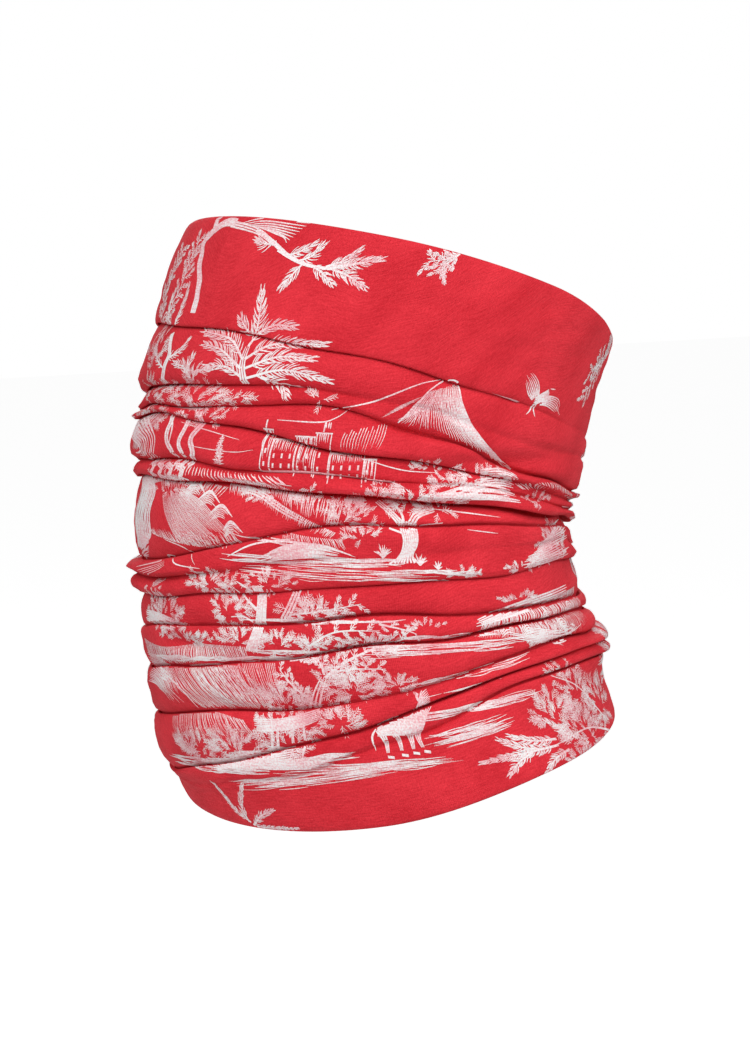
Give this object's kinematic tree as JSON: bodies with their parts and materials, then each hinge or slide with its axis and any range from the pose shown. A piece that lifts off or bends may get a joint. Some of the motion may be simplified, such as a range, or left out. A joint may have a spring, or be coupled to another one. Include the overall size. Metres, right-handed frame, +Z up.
{
  "type": "neck gaiter",
  "caption": "Soft seamless knitted tube for the neck, gathered into loose horizontal folds between a smooth upper and a smooth lower band, red with a pale engraved woodland print outside.",
  "frame": {"origin": "on the neck's axis, at the mean height of the lower rim, where the tube sits round the base of the neck", "axes": "+Z up along the neck, -Y to the wearer's front, +X to the wearer's left"},
  "size_m": [0.1637, 0.1636, 0.2],
  "materials": {
    "printed_knit": "fine polyester microfibre jersey, matt with a soft sheen, deep red",
    "curled_edge": "raw curled knit edge, matt, darker red",
    "white_print": "pale printed line work on the outside of the knit, matt"
  },
  "bodies": {
    "lower_part": {"lower_edge_curl": "curled_edge", "lower_band": "printed_knit"},
    "gather_1": {"fold_1": "printed_knit"},
    "gather_2": {"fold_2": "printed_knit"},
    "gather_3": {"fold_3": "printed_knit"},
    "gather_4": {"fold_4": "printed_knit"},
    "gather_5": {"fold_5": "printed_knit"},
    "gather_6": {"fold_6": "printed_knit"},
    "upper_part": {"upper_band": "printed_knit", "upper_edge_curl": "curled_edge"}
  },
  "joints": [
    {"name": "pull_up", "type": "slide", "parent": "lower_part", "child": "upper_part", "axis": [0, 0, 1], "range_m": [-0.01, 0.06]},
    {"name": "gather_1_slide", "type": "slide", "parent": "lower_part", "child": "gather_1", "axis": [0, 0, 1], "range_m": [-0.00155, 0.0088]},
    {"name": "gather_2_slide", "type": "slide", "parent": "lower_part", "child": "gather_2", "axis": [0, 0, 1], "range_m": [-0.00285, 0.0166]},
    {"name": "gather_3_slide", "type": "slide", "parent": "lower_part", "child": "gather_3", "axis": [0, 0, 1], "range_m": [-0.00436, 0.02566]},
    {"name": "gather_4_slide", "type": "slide", "parent": "lower_part", "child": "gather_4", "axis": [0, 0, 1], "range_m": [-0.00594, 0.03514]},
    {"name": "gather_5_slide", "type": "slide", "parent": "lower_part", "child": "gather_5", "axis": [0, 0, 1], "range_m": [-0.00744, 0.04414]},
    {"name": "gather_6_slide", "type": "slide", "parent": "lower_part", "child": "gather_6", "axis": [0, 0, 1], "range_m": [-0.00872, 0.05182]}
  ],
  "couplings": [
    {"joint": "gather_1_slide", "follows": "pull_up", "ratio": 0.145},
    {"joint": "gather_2_slide", "follows": "pull_up", "ratio": 0.275},
    {"joint": "gather_3_slide", "follows": "pull_up", "ratio": 0.426},
    {"joint": "gather_4_slide", "follows": "pull_up", "ratio": 0.584},
    {"joint": "gather_5_slide", "follows": "pull_up", "ratio": 0.734},
    {"joint": "gather_6_slide", "follows": "pull_up", "ratio": 0.862}
  ]
}
